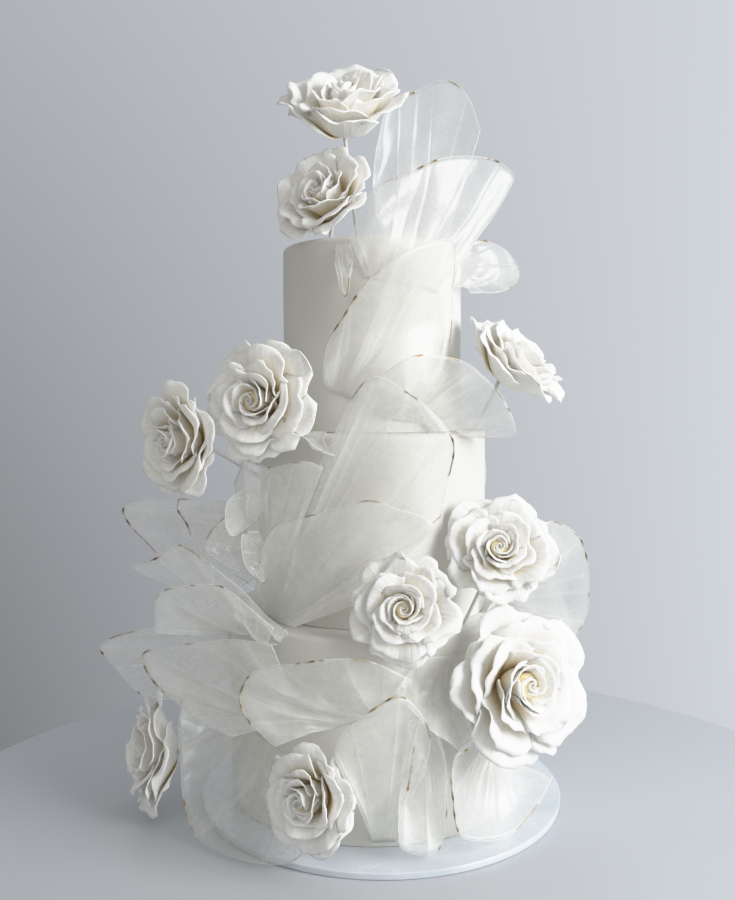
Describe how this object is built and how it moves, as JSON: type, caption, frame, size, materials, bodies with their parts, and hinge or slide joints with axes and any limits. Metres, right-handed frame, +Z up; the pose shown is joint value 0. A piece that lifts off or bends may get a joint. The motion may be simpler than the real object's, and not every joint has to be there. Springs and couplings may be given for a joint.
{
  "type": "tiered wedding cake",
  "caption": "Tiered round wedding cake on its board, smooth white icing, dressed with sugar roses and translucent wired wafer-paper sails.",
  "frame": {"origin": "on the flat underside of the board, where the axis of the three tiers meets it; the board itself is set 7.6 mm to the right and 5.5 mm forward of that axis", "axes": "+Z up along the axis of the tiers, -Y towards the decorated front, +X to the right of someone who looks at the front"},
  "size_m": [0.4186, 0.3413, 0.6208],
  "materials": {
    "icing": "smooth ivory-white icing, satin, with a softly rounded top edge on each tier",
    "sugar_petals": "matt creamy-white sugar paste, thin and ruffled, warmer between the petals",
    "wafer_sails": "thin translucent wafer paper, dried glossy and pleated, on fine wires touched with gold",
    "board_acrylic": "polished pale blue-grey acrylic board with a bright bevelled rim"
  },
  "bodies": {
    "root": {"cake_board": "board_acrylic", "tier_lower": "icing", "tier_middle": "icing", "tier_upper": "icing", "rose_top": "sugar_petals", "rose_second": "sugar_petals", "rose_left_upper": "sugar_petals", "rose_left": "sugar_petals", "rose_right_upper": "sugar_petals", "rose_right_middle": "sugar_petals", "rose_centre": "sugar_petals", "rose_large": "sugar_petals", "rose_front": "sugar_petals", "rose_left_low": "sugar_petals", "sail_crown_tall": "wafer_sails", "sail_crown_fan": "wafer_sails", "sail_crown_right": "wafer_sails", "sail_upper_drape": "wafer_sails", "sail_upper_strip": "wafer_sails", "sail_middle_tall": "wafer_sails", "sail_middle_back": "wafer_sails", "sail_middle_wrap": "wafer_sails", "sail_middle_left": "wafer_sails", "sail_under_rose": "wafer_sails", "sail_left_high": "wafer_sails", "sail_left_middle": "wafer_sails", "sail_left_inner": "wafer_sails", "sail_leaf_upper": "wafer_sails", "sail_leaf_lower": "wafer_sails", "sail_skirt_top": "wafer_sails", "sail_skirt_upper": "wafer_sails", "sail_skirt_far": "wafer_sails", "sail_skirt_band": "wafer_sails", "sail_skirt_hanging": "wafer_sails", "sail_front_band": "wafer_sails", "sail_front_leaf": "wafer_sails", "sail_front_tongue": "wafer_sails", "sail_front_pocket": "wafer_sails", "sail_front_foot": "wafer_sails", "sail_right": "wafer_sails", "sail_back_upper": "wafer_sails", "sail_back_middle": "wafer_sails", "sail_back_right": "wafer_sails", "sail_back_skirt": "wafer_sails", "sail_back_left": "wafer_sails"}
  },
  "joints": []
}
